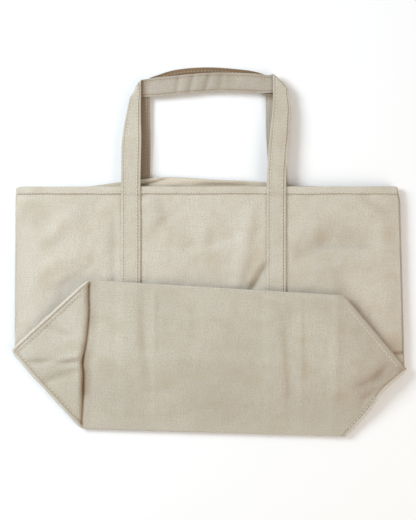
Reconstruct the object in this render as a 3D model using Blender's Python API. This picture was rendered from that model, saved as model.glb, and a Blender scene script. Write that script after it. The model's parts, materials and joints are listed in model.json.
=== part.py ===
"""Canvas boat tote, lying flat on its back with its boxed base folded up over the front.

Frame: metres. +X runs across the bag, +Y towards the mouth and the handles, and +Z up, away from the
surface that the bag lies on. The origin is the centre of the bounding box's bottom face.

The bag is a flat tube of two panels, closed at its sides by seams. Below the fold line the walls
carry on into the base, which turns as one flap about that line, between the points of its two ears.
Each handle swings about the top edge of the hem that it leaves.
"""

import math

import bmesh
import bpy

# Bag, laid flat
MOUTH_WIDTH = 0.535
EAR_SPAN = 0.547
WALL_HEIGHT = 0.340
BASE_LENGTH = 0.360
BASE_DEPTH = 0.200

# Cloth
CANVAS = 0.0012
HEM_HEIGHT = 0.0105
HEM_THICKNESS = 0.0020
SEAM_WIDTH = 0.008
SEAM_THICKNESS = 0.0022
MOUTH_GAP = 0.0057

# Straps and handles
STRAP_WIDTH = 0.027
STRAP_THICKNESS = 0.003
STRAP_SPACING = 0.202
FRONT_HANDLE_RISE = 0.158
FRONT_HANDLE_LEAN = 0.001
FRONT_HANDLE_CROWN = 0.003
BACK_HANDLE_RISE = 0.168
BACK_HANDLE_LEAN = 0.008
BACK_HANDLE_CROWN = 0.010
HANDLE_CORNER = 0.033

# Clearances
GAP = 0.0003
FOLD_GAP = 0.0006
SEAM_GAP = 0.0004
LINE_GAP = 0.0005

# Shape of the bends
STEP_RUN = 0.004
LIP = 0.006
EAR_TIP = 0.006
STRAP_END_MARGIN = 0.003
DRAPE_ROWS = 8
CORNER_STEPS = 6
CROWN_STEPS = 7

# Places along Y
HANDLE_REACH = max(FRONT_HANDLE_RISE, BACK_HANDLE_RISE)
MOUTH_Y = (WALL_HEIGHT - HANDLE_REACH) / 2
FOLD_Y = MOUTH_Y - WALL_HEIGHT + BASE_DEPTH / 2
BASE_TOP_Y = FOLD_Y + BASE_DEPTH / 2
BASE_BOTTOM_Y = FOLD_Y - BASE_DEPTH / 2
HEM_Y = MOUTH_Y - HEM_HEIGHT

# Heights of the lower faces, from the straps that the bag lies on to the base on top
BACK_STRAP_Z = 0.0
BACK_PANEL_Z = BACK_STRAP_Z + STRAP_THICKNESS + GAP
BACK_RIM_Z = BACK_PANEL_Z + HEM_THICKNESS + GAP
FRONT_PANEL_Z = BACK_RIM_Z + CANVAS + MOUTH_GAP
FRONT_STRAP_Z = FRONT_PANEL_Z + CANVAS + GAP
FRONT_RIM_STRAP_Z = FRONT_STRAP_Z + HEM_THICKNESS + GAP
FLAP_STRAP_Z = FRONT_STRAP_Z + STRAP_THICKNESS + FOLD_GAP
FRONT_LOWER_Z = FLAP_STRAP_Z + STRAP_THICKNESS + GAP
FLAP_GAP = SEAM_THICKNESS + 2 * SEAM_GAP
BASE_Z = FRONT_LOWER_Z + CANVAS + FLAP_GAP
BASE_END_Z = BACK_PANEL_Z + CANVAS + FLAP_GAP

# Hinge lines, each parallel to X and just outside the cloth that bends round it
BASE_FOLD_AXIS = (0.0, FOLD_Y, BACK_STRAP_Z - GAP)
FRONT_HANDLE_AXIS = (0.0, MOUTH_Y, FRONT_RIM_STRAP_Z + STRAP_THICKNESS + GAP)
BACK_HANDLE_AXIS = (0.0, MOUTH_Y, BACK_STRAP_Z - GAP)

# Colour and roughness of each kind of cloth
NATURAL_CANVAS = ((0.64, 0.59, 0.50, 1.0), 0.92)
BASE_CANVAS = ((0.54, 0.49, 0.40, 1.0), 0.93)
STRAP_CANVAS = ((0.60, 0.55, 0.45, 1.0), 0.90)
SEAM_CANVAS = ((0.50, 0.45, 0.36, 1.0), 0.94)


def clear_scene():
    for obj in list(bpy.data.objects):
        bpy.data.objects.remove(obj, do_unlink=True)


def new_collection(name):
    collection = bpy.data.collections.new(name)
    bpy.context.scene.collection.children.link(collection)
    return collection


def cloth_material(name, look):
    color, roughness = look
    material = bpy.data.materials.new(name + "_cloth")
    material.use_nodes = True
    shader = material.node_tree.nodes["Principled BSDF"]
    shader.inputs["Base Color"].default_value = color
    shader.inputs["Roughness"].default_value = roughness
    shader.inputs["Metallic"].default_value = 0.0
    material.diffuse_color = color
    return material


def hinge_line(name, location, collection):
    """An empty on a hinge line, which carries the pieces that turn about it."""
    empty = bpy.data.objects.new(name, None)
    empty.empty_display_size = 0.05
    empty.location = location
    collection.objects.link(empty)
    return empty


def place(obj, parent, look):
    obj.parent = parent
    obj.data.materials.append(cloth_material(obj.name, look))
    bpy.data.collections["canvas_tote_bag"].objects.link(obj)
    return obj


def sheet(name, rows, parent, look):
    """A piece of cloth: rows of (x, y, lower z, upper z) points in world places, each row as long."""
    columns = len(rows[0])
    mesh = bpy.data.meshes.new(name)
    bm = bmesh.new()
    bmesh.ops.create_grid(bm, x_segments=columns - 1, y_segments=len(rows) - 1, size=1.0)
    upper = bm.verts.layers.float.new("upper_z")
    grid = sorted(bm.verts, key=lambda v: (round(v.co.y, 4), round(v.co.x, 4)))
    points = [point for row in rows for point in row]
    offset = parent.location
    for vert, (x, y, low, high) in zip(grid, points):
        vert.co = (x - offset.x, y - offset.y, low - offset.z)
        vert[upper] = high - offset.z
    raised = bmesh.ops.extrude_face_region(bm, geom=bm.faces[:])
    for vert in raised["geom"]:
        if isinstance(vert, bmesh.types.BMVert):
            vert.co.z = vert[upper]
    bm.verts.layers.float.remove(upper)
    bmesh.ops.recalc_face_normals(bm, faces=bm.faces[:])
    bm.to_mesh(mesh)
    bm.free()
    return place(bpy.data.objects.new(name, mesh), parent, look)


def band(name, x_low, x_high, profile, thickness, parent, look):
    """A strip of constant width that follows a profile of (y, lower z) points."""
    rows = [[(x, y, z, z + thickness) for x in (x_low, x_high)] for y, z in profile]
    return sheet(name, rows, parent, look)


def wall_edge(y):
    """Half the width of the flat bag between the mouth and the fold line."""
    share = (MOUTH_Y - y) / (MOUTH_Y - FOLD_Y)
    return (MOUTH_WIDTH + share * (EAR_SPAN - MOUTH_WIDTH)) / 2


def flap_edge(y):
    """Half the width of the folded base, from its long edges out to the points of its ears."""
    share = abs(y - FOLD_Y) / (BASE_DEPTH / 2)
    return (EAR_SPAN - share * (EAR_SPAN - BASE_LENGTH)) / 2


def base_height(y):
    """The base's lower face: level over the bag, then draped down to the surface below the fold."""
    share = min(max((FOLD_Y - y) / (BASE_DEPTH / 2), 0.0), 1.0)
    return BASE_Z - (BASE_Z - BASE_END_Z) * share * share * (3 - 2 * share)


def spaced(start, end, steps):
    return [start + (end - start) * i / steps for i in range(steps + 1)]


def build_walls(body):
    low_y = FOLD_Y + LINE_GAP
    back_profile = (
        (low_y, BACK_PANEL_Z),
        (HEM_Y - STEP_RUN, BACK_PANEL_Z),
        (HEM_Y - GAP, BACK_RIM_Z),
        (MOUTH_Y, BACK_RIM_Z),
    )
    back_rows = [
        [(x, y, z, z + CANVAS) for x in (-wall_edge(y), wall_edge(y))] for y, z in back_profile
    ]
    front_rows = [
        [(x, y, FRONT_PANEL_Z, FRONT_PANEL_Z + CANVAS) for x in (-wall_edge(y), wall_edge(y))]
        for y in (low_y, MOUTH_Y)
    ]
    sheet("back_panel", back_rows, body, NATURAL_CANVAS)
    sheet("front_panel", front_rows, body, NATURAL_CANVAS)
    for name, z in (("back_hem", BACK_PANEL_Z), ("front_hem", FRONT_STRAP_Z)):
        rows = [
            [(x, y, z, z + HEM_THICKNESS) for x in (-wall_edge(y), wall_edge(y))]
            for y in (HEM_Y, MOUTH_Y)
        ]
        sheet(name, rows, body, NATURAL_CANVAS)
    for name, side in (("left_side_seam", -1), ("right_side_seam", 1)):
        rows = []
        for y, z in back_profile:
            edges = sorted((side * wall_edge(y), side * (wall_edge(y) - SEAM_WIDTH)))
            rows.append([(x, y, z + CANVAS + GAP, FRONT_PANEL_Z - GAP) for x in edges])
        sheet(name, rows, body, SEAM_CANVAS)


def build_sewn_straps(body):
    low_y = FOLD_Y + LINE_GAP
    high_y = MOUTH_Y - GAP / 2
    front_profile = (
        (low_y, FRONT_STRAP_Z),
        (HEM_Y - STEP_RUN, FRONT_STRAP_Z),
        (HEM_Y - GAP, FRONT_RIM_STRAP_Z),
        (high_y, FRONT_RIM_STRAP_Z),
    )
    back_profile = ((low_y, BACK_STRAP_Z), (high_y, BACK_STRAP_Z))
    for face, profile in (("front", front_profile), ("back", back_profile)):
        for side, middle in (("left", -STRAP_SPACING / 2), ("right", STRAP_SPACING / 2)):
            band(
                f"{face}_strap_{side}",
                middle - STRAP_WIDTH / 2,
                middle + STRAP_WIDTH / 2,
                profile,
                STRAP_THICKNESS,
                body,
                STRAP_CANVAS,
            )


def build_base(fold):
    half = BASE_LENGTH / 2
    drape = spaced(FOLD_Y, BASE_BOTTOM_Y + LIP, DRAPE_ROWS)
    profile = [(BASE_BOTTOM_Y, BACK_PANEL_Z + CANVAS + GAP)]
    profile += [(y, base_height(y)) for y in reversed(drape)]
    profile += [(BASE_TOP_Y - LIP, BASE_Z), (BASE_TOP_Y, FRONT_LOWER_Z + CANVAS + GAP)]
    band("base_panel", GAP / 2 - half, half - GAP / 2, profile, CANVAS, fold, BASE_CANVAS)

    front_rows = [
        [(x, y, FRONT_LOWER_Z, FRONT_LOWER_Z + CANVAS) for x in (-flap_edge(y), flap_edge(y))]
        for y in (FOLD_Y + LINE_GAP, BASE_TOP_Y)
    ]
    sheet("front_lower_panel", front_rows, fold, NATURAL_CANVAS)

    back_rows = []
    for y in spaced(BASE_BOTTOM_Y, FOLD_Y - LINE_GAP, DRAPE_ROWS):
        wing = base_height(y) - FLAP_GAP - CANVAS
        places = (
            (-flap_edge(y), wing),
            (LIP - half, BACK_PANEL_Z),
            (half - LIP, BACK_PANEL_Z),
            (flap_edge(y), wing),
        )
        back_rows.append([(x, y, z, z + CANVAS) for x, z in places])
    sheet("back_lower_panel", back_rows, fold, NATURAL_CANVAS)

    ear_share = 1 - EAR_TIP / (EAR_SPAN / 2 - half)
    ear_reach = BASE_DEPTH / 2 * ear_share
    ys = spaced(FOLD_Y - ear_reach, FOLD_Y, DRAPE_ROWS) + [FOLD_Y + ear_reach]
    for name, side in (("left_gusset", -1), ("right_gusset", 1)):
        rows = []
        for y in ys:
            edges = sorted((side * flap_edge(y), side * (half + GAP / 2)))
            rows.append([(x, y, base_height(y), base_height(y) + CANVAS) for x in edges])
        sheet(name, rows, fold, BASE_CANVAS)


def build_corner_seams(fold):
    """The four darts that box the base, each under the edge of an ear."""
    inner = BASE_LENGTH / 2 + GAP
    reach = BASE_DEPTH / 2 * (1 - (SEAM_WIDTH + GAP) / ((EAR_SPAN - BASE_LENGTH) / 2))
    for face, way in (("front", 1), ("back", -1)):
        ys = sorted(spaced(FOLD_Y + way * LINE_GAP, FOLD_Y + way * reach, DRAPE_ROWS))
        for side_name, side in (("left", -1), ("right", 1)):
            rows = []
            for y in ys:
                outer = flap_edge(y)
                edges = sorted((side * outer, side * max(outer - SEAM_WIDTH, inner)))
                low = base_height(y) - SEAM_GAP - SEAM_THICKNESS
                rows.append([(x, y, low, low + SEAM_THICKNESS) for x in edges])
            sheet(f"{face}_corner_seam_{side_name}", rows, fold, SEAM_CANVAS)


def build_strap_ends(fold):
    spans = {
        "front": (FOLD_Y + LINE_GAP, BASE_TOP_Y - STRAP_END_MARGIN, FLAP_STRAP_Z),
        "back": (BASE_BOTTOM_Y + STRAP_END_MARGIN, FOLD_Y - LINE_GAP, BACK_STRAP_Z),
    }
    for face, (low_y, high_y, z) in spans.items():
        for side, middle in (("left", -STRAP_SPACING / 2), ("right", STRAP_SPACING / 2)):
            band(
                f"{face}_strap_end_{side}",
                middle - STRAP_WIDTH / 2,
                middle + STRAP_WIDTH / 2,
                ((low_y, z), (high_y, z)),
                STRAP_THICKNESS,
                fold,
                STRAP_CANVAS,
            )


def crown_curve(half_width, middle_y, crown, steps):
    """Points from right to left along a grip's low arch, whose middle step is straight and highest."""
    flat_share = 1 / steps
    curve = []
    for x in spaced(half_width, -half_width, steps):
        share = max(abs(x) / half_width - flat_share, 0.0) / (1 - flat_share)
        curve.append((x, middle_y - crown * share**2))
    return curve


def build_handle(name, rise, lean, crown, z, hinge):
    """A flat loop of strap: two legs, two turned corners and the grip across the top."""
    foot = GAP / 2
    outer = STRAP_SPACING / 2 + STRAP_WIDTH / 2
    inner = outer - STRAP_WIDTH
    shoulder = rise - crown
    centre = (outer - lean - HANDLE_CORNER, shoulder - HANDLE_CORNER)
    corner = []
    for i in range(CORNER_STEPS):
        angle = math.pi / 2 * i / CORNER_STEPS
        corner.append(
            (
                centre[0] + HANDLE_CORNER * math.cos(angle),
                centre[1] + HANDLE_CORNER * math.sin(angle),
            )
        )
    outline = [(outer, foot)] + corner
    outline += crown_curve(centre[0], rise, crown, CROWN_STEPS)
    outline += [(-x, y) for x, y in reversed(corner)]
    outline += [(-outer, foot), (-inner, foot)]
    outline += reversed(crown_curve(inner - lean, rise - STRAP_WIDTH, crown, CROWN_STEPS))
    outline.append((inner, foot))

    curve = bpy.data.curves.new(name, "CURVE")
    curve.dimensions = "2D"
    curve.fill_mode = "BOTH"
    curve.extrude = STRAP_THICKNESS / 2
    spline = curve.splines.new("POLY")
    spline.points.add(len(outline) - 1)
    for point, (x, y) in zip(spline.points, outline):
        point.co = (x, y, 0.0, 1.0)
    spline.use_cyclic_u = True
    handle = place(bpy.data.objects.new(name, curve), hinge, STRAP_CANVAS)
    handle.location.z = z + STRAP_THICKNESS / 2 - hinge.location.z


def main():
    clear_scene()
    collection = new_collection("canvas_tote_bag")
    body = hinge_line("bag_body", (0.0, 0.0, 0.0), collection)
    fold = hinge_line("base_fold_line", BASE_FOLD_AXIS, collection)
    front = hinge_line("front_handle_line", FRONT_HANDLE_AXIS, collection)
    back = hinge_line("back_handle_line", BACK_HANDLE_AXIS, collection)
    for hinge in (fold, front, back):
        hinge.parent = body
    build_walls(body)
    build_sewn_straps(body)
    build_base(fold)
    build_corner_seams(fold)
    build_strap_ends(fold)
    build_handle(
        "front_handle",
        FRONT_HANDLE_RISE,
        FRONT_HANDLE_LEAN,
        FRONT_HANDLE_CROWN,
        FRONT_RIM_STRAP_Z,
        front,
    )
    build_handle(
        "back_handle",
        BACK_HANDLE_RISE,
        BACK_HANDLE_LEAN,
        BACK_HANDLE_CROWN,
        BACK_STRAP_Z,
        back,
    )


main()
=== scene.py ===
"""Looks of the canvas tote bag: cloth, webbing, hems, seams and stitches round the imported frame.

Every place comes from the frame's own boxes. Metres, +X across the bag, +Y to the mouth, +Z up.
"""

import json
import math
from collections import namedtuple

import bpy
import numpy as np
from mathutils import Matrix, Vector


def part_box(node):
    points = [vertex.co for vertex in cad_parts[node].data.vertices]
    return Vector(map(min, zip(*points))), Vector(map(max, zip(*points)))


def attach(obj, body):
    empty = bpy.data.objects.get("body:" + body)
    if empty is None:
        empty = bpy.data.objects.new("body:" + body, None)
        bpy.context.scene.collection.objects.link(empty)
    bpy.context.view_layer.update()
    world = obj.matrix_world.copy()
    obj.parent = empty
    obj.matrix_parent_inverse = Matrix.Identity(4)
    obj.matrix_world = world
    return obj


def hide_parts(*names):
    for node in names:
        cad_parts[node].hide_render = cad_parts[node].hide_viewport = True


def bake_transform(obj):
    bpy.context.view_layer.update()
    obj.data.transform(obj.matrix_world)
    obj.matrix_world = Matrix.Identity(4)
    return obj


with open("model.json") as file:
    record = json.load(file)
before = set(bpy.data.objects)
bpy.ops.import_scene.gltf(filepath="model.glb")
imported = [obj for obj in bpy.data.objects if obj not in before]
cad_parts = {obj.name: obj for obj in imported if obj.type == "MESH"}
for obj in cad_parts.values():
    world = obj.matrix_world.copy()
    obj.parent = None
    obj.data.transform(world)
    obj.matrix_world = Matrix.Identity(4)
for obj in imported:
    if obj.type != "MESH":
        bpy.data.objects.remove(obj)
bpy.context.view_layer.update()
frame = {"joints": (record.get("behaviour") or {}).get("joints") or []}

MM = 0.001

# ---- places, from the frame

X, Y, Z = 0, 1, 2


def low(node, axis):
    return float(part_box(node)[0][axis])


def high(node, axis):
    return float(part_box(node)[1][axis])


MOUTH_Y = high("front_hem", Y)
HEM_Y = low("front_hem", Y)
MOUTH_HALF = high("front_hem", X)
EAR_HALF = high("right_gusset", X)
BASE_HALF = high("base_panel", X)
FOLD_Y = next(j["pos_m"][1] for j in frame["joints"] if j["name"] == "base_fold_hinge")
BASE_TOP_Y = high("base_panel", Y)
BASE_BOTTOM_Y = low("base_panel", Y)
STRAP_X = (low("front_strap_right", X) + high("front_strap_right", X)) / 2
STRAP_WIDTH = high("front_strap_right", X) - low("front_strap_right", X)

# Half thicknesses, and the gap that is left between two sewn layers
CANVAS_HALF = 0.6 * MM
WEB_HALF = 1.3 * MM
HEM_HALF = 0.95 * MM
SEAM_HALF = 0.5 * MM
LAYER_GAP = 0.05 * MM
FLOOR_GAP = 0.2 * MM
FRONT_MID = high("front_panel", Z) - CANVAS_HALF
BACK_MID = low("back_panel", Z) + CANVAS_HALF
BASE_MID = high("base_panel", Z) - CANVAS_HALF
# Near the side seams the panels come together: their heights there, and over what width
FRONT_EDGE_Z = 8.6 * MM
BACK_EDGE_Z = 6.8 * MM
EDGE_FALL = 32 * MM
EDGE_POWER = 1.3

# How the bag was laid down: webbing a little left of the middle, the base turned clockwise
WEB_SHIFT = -5.4 * MM
BACK_RIM_RISE = ((-200, 0), (-174, 0), (-121, 6.8), (-58, 13.4), (4, 10.2), (82, 6.2),
                 (109, 3.4), (173, 0), (200, 0))
TOP_LEFT = (-BASE_HALF + 0.0155, BASE_TOP_Y + 0.009)
TOP_RIGHT = (BASE_HALF + 0.0097, BASE_TOP_Y - 0.0124)
EAR_LEFT = (-EAR_HALF + 0.0024, FOLD_Y + 0.0118)
EAR_RIGHT = (EAR_HALF + 0.003, FOLD_Y - 0.0142)
BOTTOM_LEFT = (-BASE_HALF + 0.0043, BASE_BOTTOM_Y + 0.004)
BOTTOM_RIGHT = (BASE_HALF + 0.0125, BASE_BOTTOM_Y - 0.0072)

# ---- numbers and fields


def unit(t):
    return np.clip(t, 0.0, 1.0)


def smooth(t):
    t = unit(t)
    return t * t * (3 - 2 * t)


def lerp(a, b, t):
    return a + (b - a) * t


def bell(d, width):
    return np.exp(-((d / width) ** 2))


def joined(*parts):
    """Points, or places in UV, from their parts."""
    return np.stack(parts, -1)


def curve(points, at):
    """A smooth curve in metres through a few (place, value) points in millimetres."""
    xs, ys = (np.array(v, float) * MM for v in zip(*points))
    slope = np.gradient(ys, xs)
    i = np.clip(np.searchsorted(xs, at) - 1, 0, len(xs) - 2)
    span = xs[i + 1] - xs[i]
    t = unit((at - xs[i]) / span)
    a, b = 2 * t**3 - 3 * t**2 + 1, t**3 - 2 * t**2 + t
    c, d = -2 * t**3 + 3 * t**2, t**3 - t**2
    return a * ys[i] + b * span * slope[i] + c * ys[i + 1] + d * span * slope[i + 1]


def field(x, y, cell, seed):
    """Smooth noise from -1 to 1, whose bumps are about cell across."""
    size = 64
    grid = np.random.default_rng(seed).uniform(-1, 1, (size, size))
    u, v = x / cell + 31.3, y / cell + 31.7
    i, j = np.floor(u).astype(int), np.floor(v).astype(int)
    s, t = smooth(u - i), smooth(v - j)
    i, j, k, m = i % size, j % size, (i + 1) % size, (j + 1) % size
    near = lerp(grid[i, j], grid[k, j], s)
    far = lerp(grid[i, m], grid[k, m], s)
    return lerp(near, far, t)


def wave(x, cell, seed):
    """Smooth noise along a line."""
    return field(x, x * 0, cell, seed)


PUFF_CELL = 75 * MM


def puffs(x, y, seed):
    """Noise of three sizes: the soft unevenness of a cloth that lies loose."""
    return (field(x, y, PUFF_CELL, seed) + 0.5 * field(x, y, PUFF_CELL / 2.1, seed + 1)
            + 0.25 * field(x, y, PUFF_CELL / 4.5, seed + 2)) / 1.75


def crease(x, y, ax, ay, bx, by, width, height, skew=1.0):
    """A soft ridge (a valley if height is below 0) along the line from a to b, fading out at
    its ends. skew is how much wider it is on its left than on its right, going from a to b."""
    dx, dy = bx - ax, by - ay
    length = math.hypot(dx, dy)
    along = ((x - ax) * dx + (y - ay) * dy) / length**2
    across = ((x - ax) * dy - (y - ay) * dx) / length
    width = np.where(across > 0, width, width * skew)
    return height * bell(across, width) * smooth(along / 0.3) * smooth((1 - along) / 0.3)


def creases(x, y, table):
    """The sum of a table's creases, whose measures are in millimetres."""
    return MM * sum(crease(x / MM, y / MM, *row) for row in table)


# ---- meshes


def new_object(name, data):
    obj = bpy.data.objects.new(name, data)
    bpy.context.scene.collection.objects.link(obj)
    return obj


def new_piece(name, points, faces, material):
    """A smooth-shaded mesh object of one material."""
    mesh = bpy.data.meshes.new(name)
    mesh.from_pydata(points.tolist(), [], faces)
    mesh.polygons.foreach_set("use_smooth", np.ones(len(mesh.polygons), bool))
    mesh.update()
    mesh.materials.append(material)
    return new_object(name, mesh)


def put(piece, body, slot, *nodes):
    """The piece rides a body and stands for nodes of the CAD, which it hides; slot is not used."""
    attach(piece, body)
    if nodes:
        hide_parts(*nodes)
    return piece


def directions(vectors):
    return vectors / np.maximum(np.linalg.norm(vectors, axis=-1, keepdims=True), 1e-12)


def normals_of(grid):
    """Unit normals of a grid of points: columns cross rows."""
    return directions(np.cross(np.gradient(grid, axis=1), np.gradient(grid, axis=0)))


def cloth(name, grid, half, uv, material, shade=None, reverse=None):
    """A closed thin piece of half thickness half about a grid of points, with UVs in metres.
    shade is how much painted shade darkens the cloth at each point, or on its two sides if it is
    given twice, and reverse is the material of its lower side."""
    normal = normals_of(grid)
    half = np.broadcast_to(half, grid.shape[:2])[..., None]
    upper, lower = grid + normal * half, grid - normal * half
    n, m = grid.shape[:2]
    index = np.arange(n * m).reshape(n, m)
    a, b, c, d = index[:-1, :-1], index[:-1, 1:], index[1:, 1:], index[1:, :-1]
    top = joined(a, b, c, d).reshape(-1, 4)
    rim = np.concatenate([index[0, :], index[1:, -1], index[-1, -2::-1], index[-2:0:-1, 0]])
    after = np.roll(rim, -1)
    side = joined(after, rim, rim + n * m, after + n * m)
    faces = np.concatenate([top, top[:, ::-1] + n * m, side])
    points = np.concatenate([upper.reshape(-1, 3), lower.reshape(-1, 3)])
    obj = new_piece(name, points, faces.tolist(), material)
    mesh = obj.data
    layer = mesh.uv_layers.new(name="cloth")
    loops = np.empty(len(mesh.loops), np.int64)
    mesh.loops.foreach_get("vertex_index", loops)
    both = np.concatenate([uv.reshape(-1, 2)] * 2)
    layer.data.foreach_set("uv", both[loops].astype(np.float32).ravel())
    if shade is not None:
        shades = mesh.attributes.new("shade", "FLOAT", "POINT")
        both = np.broadcast_to(shade, (2, *grid.shape[:2]))
        shades.data.foreach_set("value", both.astype(np.float32).ravel())
    if reverse is not None:
        mesh.materials.append(reverse)
        slots = np.zeros(len(mesh.polygons), np.int32)
        slots[len(top):2 * len(top)] = 1
        mesh.polygons.foreach_set("material_index", slots)
    return obj


LEAST_EDGE = 0.3


def rounded(distance, radius):
    """Share of the full thickness at this distance from a piece's edge."""
    return LEAST_EDGE + (1 - LEAST_EDGE) * np.sqrt(1 - (1 - unit(distance / radius)) ** 2)


def row_on(grid, half, across, place, face=1):
    """The line and normals on a grid's upper (face 1) or lower side where across equals place."""
    normal = normals_of(grid) * face
    surface = grid + normal * np.broadcast_to(half, grid.shape[:2])[..., None]
    i = int(np.clip(np.searchsorted(across, place) - 1, 0, len(across) - 2))
    t = (place - across[i]) / (across[i + 1] - across[i])
    line = lerp(surface[:, i], surface[:, i + 1], t)
    return line, directions(lerp(normal[:, i], normal[:, i + 1], t))


STITCH_SIDES = 6
STITCH_RINGS = ((-0.72, 0.7), (0.0, 1.0), (0.72, 0.7))
STITCH_RADIUS = 0.5 * MM
STITCH_SHARE = 0.76  # how much of the pitch a stitch fills
STITCH_ARCH, STITCH_SUNK = 0.22 * MM, 0.02 * MM


def stitch_shape():
    """A short plump stitch along X, of half length 1 and radius 1: points and faces."""
    angles = [2 * math.pi * k / STITCH_SIDES for k in range(STITCH_SIDES)]
    rings = [(place, radius * math.cos(a), radius * math.sin(a))
             for place, radius in STITCH_RINGS for a in angles]
    points = [(-1.0, 0.0, 0.0), *rings, (1.0, 0.0, 0.0)]
    starts = range(1, len(rings), STITCH_SIDES)
    faces = []
    for k in range(STITCH_SIDES):
        j = (k + 1) % STITCH_SIDES
        faces.append((0, 1 + j, 1 + k))
        faces += [(a + k, a + j, b + j, b + k) for a, b in zip(starts, starts[1:])]
        faces.append((len(points) - 1, starts[-1] + k, starts[-1] + j))
    return np.array(points), faces


def stitches(name, rows, material):
    """Thread as one piece: rows of ((line, normals), pitch) sewn as stitches half sunk in."""
    shape, shape_faces = stitch_shape()
    points, faces = [], []
    for (line, up), pitch in rows:
        steps = np.linalg.norm(np.diff(line, axis=0), axis=1)
        run = np.concatenate([[0.0], np.cumsum(steps)])
        count = max(int(run[-1] / pitch), 1)
        centres = (np.arange(count) + 0.5) * run[-1] / count

        def at(values, offset=0.0):
            return np.stack([np.interp(centres + offset, run, values[:, k]) for k in range(3)], 1)

        along = directions(at(line, pitch * 0.3) - at(line, -pitch * 0.3))
        side = directions(np.cross(at(up), along))
        normal = np.cross(along, side)
        rise = (1 - shape[:, 0] ** 2) * STITCH_ARCH - STITCH_SUNK
        for p, a, s, u in zip(at(line), along, side, normal):
            start = len(points) * len(shape)
            faces.extend([tuple(i + start for i in face) for face in shape_faces])
            points.append(p + np.outer(shape[:, 0] * pitch * STITCH_SHARE / 2, a)
                          + np.outer(shape[:, 1] * STITCH_RADIUS, s)
                          + np.outer(shape[:, 2] * STITCH_RADIUS + rise, u))
    return new_piece(name, np.concatenate(points), faces, material)


# ---- heights of the cloth


def on_line(a, b, t):
    return lerp(a[0], b[0], t), lerp(a[1], b[1], t)


def edge_x(y, side):
    """X of the body's left (-1) or right (1) edge."""
    ear = EAR_LEFT if side < 0 else EAR_RIGHT
    straight = lerp(side * (MOUTH_HALF - 0.001), ear[0] - side * 0.003,
                    (MOUTH_Y - y) / (MOUTH_Y - ear[1]))
    return straight - side * (0.001 if side < 0 else 0.0032) * smooth((y - HEM_Y + 0.012) / 0.022)


def fold_y(x):
    """Y of the tilted line on which the base folds."""
    return lerp(EAR_LEFT[1], EAR_RIGHT[1], (x - EAR_LEFT[0]) / (EAR_RIGHT[0] - EAR_LEFT[0]))


def mouth_y(x):
    """Y of the front's mouth, which falls off at both corners."""
    left = unit(1 - (x + MOUTH_HALF) / 0.01)
    right = unit(1 - (MOUTH_HALF - x) / 0.006)
    return MOUTH_Y - 0.0035 * left**2 - 0.006 * right**2 + 0.0004 * wave(x, 0.03, 5)


def from_edge(x, y):
    return np.minimum(x - edge_x(y, -1), edge_x(y, 1) - x)


def pillow(edge, middle, rim):
    """Height of a panel, from the rim's at its side edges to its middle's further in."""
    return middle + (rim - middle) * (1 - smooth(edge / EDGE_FALL)) ** EDGE_POWER


# Soft folds of the front panel, in mm: start x, y, end x, y, width, height and maybe skew
FRONT_CREASES = (
    (-266, 56, -210, 20, 13, -2.6, 2.0),
    (-256, 5, -165, 50, 15, 2.6),
    (-254, -45, -150, 10, 14, 2),
    (-225, -70, -135, -8, 14, -1.2, 0.6),
    (-129, 65, -129, -80, 6.5, -1.6),
    (-88, 75, -64, 30, 12, 2.6),
    (-8, 2, 50, 23, 6, -2.2, 2.2),
    (65, 70, 38, -70, 10.5, 3),
    (86, -14, 56, -66, 4.8, -4.2, 1.8),
    (-42, -5, -8, 8, 7, -1),
    (115, -16, 180, 12, 6, -4.2, 3.0),
    (145, 10, 245, 5, 6.5, -4, 3.0),
    (130, -26, 245, -18, 13, 2.4),
    (210, 78, 264, 42, 8, -2.8),
    (160, 62, 240, 40, 14, 1.6),
)
FRONT_FOLDED = 1.35


def front_z(x, y):
    """Height of the middle of the front panel's cloth."""
    edge = from_edge(x, y)
    free = smooth(edge / 0.03) * smooth((y - fold_y(x)) / 0.09)
    ripple = 0.0022 * puffs(x, y, 11) + 0.0006 * field(x, y, 0.011, 17)
    folds = FRONT_FOLDED * creases(x, y, FRONT_CREASES)
    return pillow(edge, FRONT_MID, FRONT_EDGE_Z) + free * (ripple + folds) + side_tuck(x, y)


TUCK_X, TUCK_Y = 0.256, -0.1455


def side_tuck(x, y):
    """The small tuck of the side that shows behind the right ear's tip."""
    line = -0.0013 * bell(y - TUCK_Y, 0.0022)
    return (line + 0.0008 * smooth((TUCK_Y - 0.001 - y) / 0.002)) * smooth((x - TUCK_X) / 0.005)


def front_shade(x, y):
    """Painted shade: beside the right ear, above and in the tuck behind its tip, in the folds'
    valleys, and more to the right.
    """
    (ax, ay), (bx, by) = TOP_RIGHT, EAR_RIGHT
    away = ((x - ax) * (ay - by) + (y - ay) * (bx - ax)) / math.hypot(bx - ax, by - ay)
    beside = 0.17 * bell(away - 0.002, 0.011) * smooth((x - 0.165) / 0.02)
    above = 0.12 * bell(y - TUCK_Y - 0.01, 0.01) * smooth((x - 0.235) / 0.02)
    tuck = 0.55 * bell(y - TUCK_Y, 0.0018) * smooth((x - TUCK_X + 0.002) / 0.004)
    valleys = unit(-creases(x, y, FRONT_CREASES) / 0.004)
    return beside + above + tuck + 0.12 * valleys + 0.03 * smooth((x - 0.1) / 0.08)


def back_z(x, y):
    """Height of the middle of the back panel's cloth."""
    edge = from_edge(x, y)
    level = pillow(edge, BACK_MID, BACK_EDGE_Z)
    hem = 2 * HEM_HALF * smooth((y - HEM_Y + 0.012) / 0.012) * smooth(edge / 0.04)
    ripple = 0.0011 * puffs(x, y, 41) * smooth(edge / 0.03) * smooth((y - fold_y(x)) / 0.05)
    return level + hem + np.abs(ripple) + creases(x, y, RIM_CREASES)


# Folds in the back panel's rim, where it shows above the front one, in mm
RIM_CREASES = (
    (-108, 84, -50, 100, 1.6, -1.4),
    (-95, 80, -20, 96, 2.4, 1.2),
    (-30, 90, 70, 90, 2.2, -1),
)


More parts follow.
